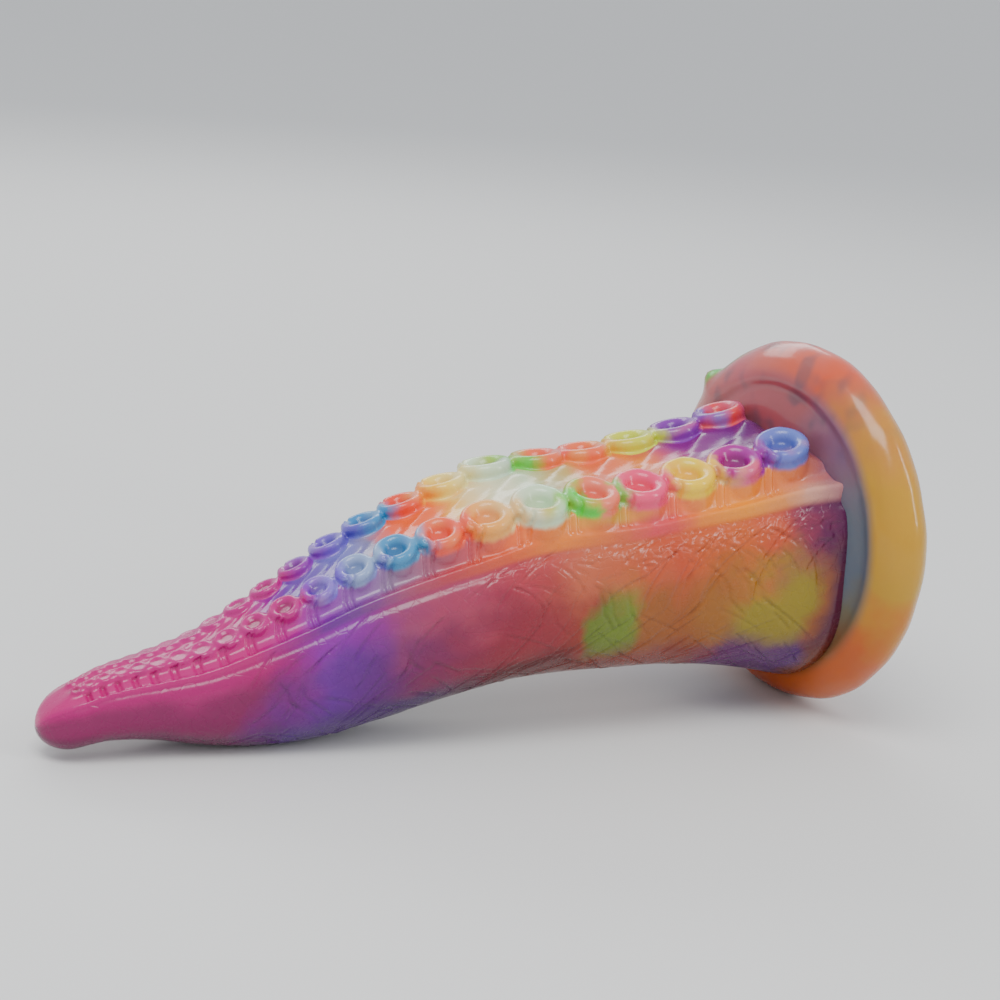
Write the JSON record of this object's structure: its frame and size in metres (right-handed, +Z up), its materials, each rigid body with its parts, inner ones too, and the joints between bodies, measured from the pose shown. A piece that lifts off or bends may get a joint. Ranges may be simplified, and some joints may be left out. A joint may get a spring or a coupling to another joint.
{
  "type": "tentacle-shaped silicone adult toy with suction base",
  "caption": "Soft glossy octopus arm in marbled many-coloured silicone, with two rows of suckers and a thick round suction base, lying on its side. Looks like an adult product.",
  "frame": {"origin": "on the floor, under the middle of the object's box", "axes": "+X along the arm from the tip to the suction base, +Y sideways, +Z up, suckers on top"},
  "size_m": [0.2004, 0.0898, 0.0894],
  "materials": {
    "silicone_clear_base": "gloss",
    "silicone_amber": "gloss",
    "silicone_orange": "gloss",
    "silicone_olive": "gloss",
    "silicone_coral": "gloss",
    "silicone_violet": "gloss",
    "silicone_magenta": "gloss",
    "silicone_blue": "gloss",
    "silicone_pale_blue": "gloss",
    "silicone_yellow": "gloss",
    "silicone_pink": "gloss",
    "silicone_cream": "gloss",
    "silicone_white": "gloss",
    "silicone_green": "gloss"
  },
  "bodies": {
    "base": {"suction_base": "silicone_clear_base", "sucker_left_01": "silicone_blue", "sucker_right_01": "silicone_pale_blue"},
    "root": {"arm_root_flex": "silicone_amber", "arm_root": "silicone_olive", "sucker_left_02": "silicone_magenta", "sucker_right_02": "silicone_violet", "sucker_left_03": "silicone_yellow", "sucker_right_03": "silicone_yellow", "sucker_left_04": "silicone_pink", "sucker_right_04": "silicone_orange"},
    "middle": {"arm_middle_flex": "silicone_orange", "arm_middle": "silicone_coral", "arm_fore": "silicone_violet", "arm_wrist": "silicone_magenta", "sucker_left_05": "silicone_green", "sucker_right_05": "silicone_green", "sucker_left_06": "silicone_white", "sucker_right_06": "silicone_white", "sucker_left_07": "silicone_cream", "sucker_right_07": "silicone_cream", "sucker_left_08": "silicone_coral", "sucker_right_08": "silicone_coral", "sucker_left_09": "silicone_blue", "sucker_right_09": "silicone_blue", "sucker_left_10": "silicone_pale_blue", "sucker_right_10": "silicone_violet", "sucker_left_11": "silicone_magenta", "sucker_right_11": "silicone_magenta", "sucker_left_12": "silicone_magenta", "sucker_right_12": "silicone_magenta", "sucker_left_13": "silicone_magenta", "sucker_right_13": "silicone_magenta", "sucker_left_14": "silicone_magenta", "sucker_right_14": "silicone_magenta"},
    "tip": {"tip_flex": "silicone_magenta", "tip": "silicone_magenta", "sucker_left_15": "silicone_magenta", "sucker_right_15": "silicone_magenta", "sucker_left_16": "silicone_magenta", "sucker_right_16": "silicone_magenta", "sucker_left_17": "silicone_magenta", "sucker_right_17": "silicone_magenta", "sucker_left_18": "silicone_magenta", "sucker_right_18": "silicone_magenta", "sucker_left_19": "silicone_magenta", "sucker_right_19": "silicone_magenta", "sucker_left_20": "silicone_magenta", "sucker_right_20": "silicone_magenta", "sucker_left_21": "silicone_magenta", "sucker_right_21": "silicone_magenta", "sucker_left_22": "silicone_magenta", "sucker_right_22": "silicone_magenta"}
  },
  "joints": [
    {"name": "arm_sway", "type": "hinge", "parent": "base", "child": "root", "pos_m": [0.06134, 0, 0.03525], "axis": [0, 0, 1], "range_deg": [-20, 20], "stiffness_Nm_per_rad": 2.4, "deforming": ["arm_root_flex", "sucker_left_02", "sucker_right_02"]},
    {"name": "arm_bend", "type": "hinge", "parent": "root", "child": "middle", "pos_m": [0.01619, 0, 0.03236], "axis": [0, 1, 0], "range_deg": [-25, 25], "stiffness_Nm_per_rad": 1.6, "deforming": ["arm_middle_flex", "sucker_left_05", "sucker_right_05", "sucker_left_06", "sucker_right_06"]},
    {"name": "tip_curl", "type": "hinge", "parent": "middle", "child": "tip", "pos_m": [-0.07219, 0, 0.01117], "axis": [0, 1, 0], "range_deg": [-45, 45], "stiffness_Nm_per_rad": 0.12, "deforming": ["tip_flex", "sucker_left_15", "sucker_right_15", "sucker_left_16", "sucker_right_16", "sucker_left_17", "sucker_right_17", "sucker_left_18", "sucker_right_18"]}
  ]
}
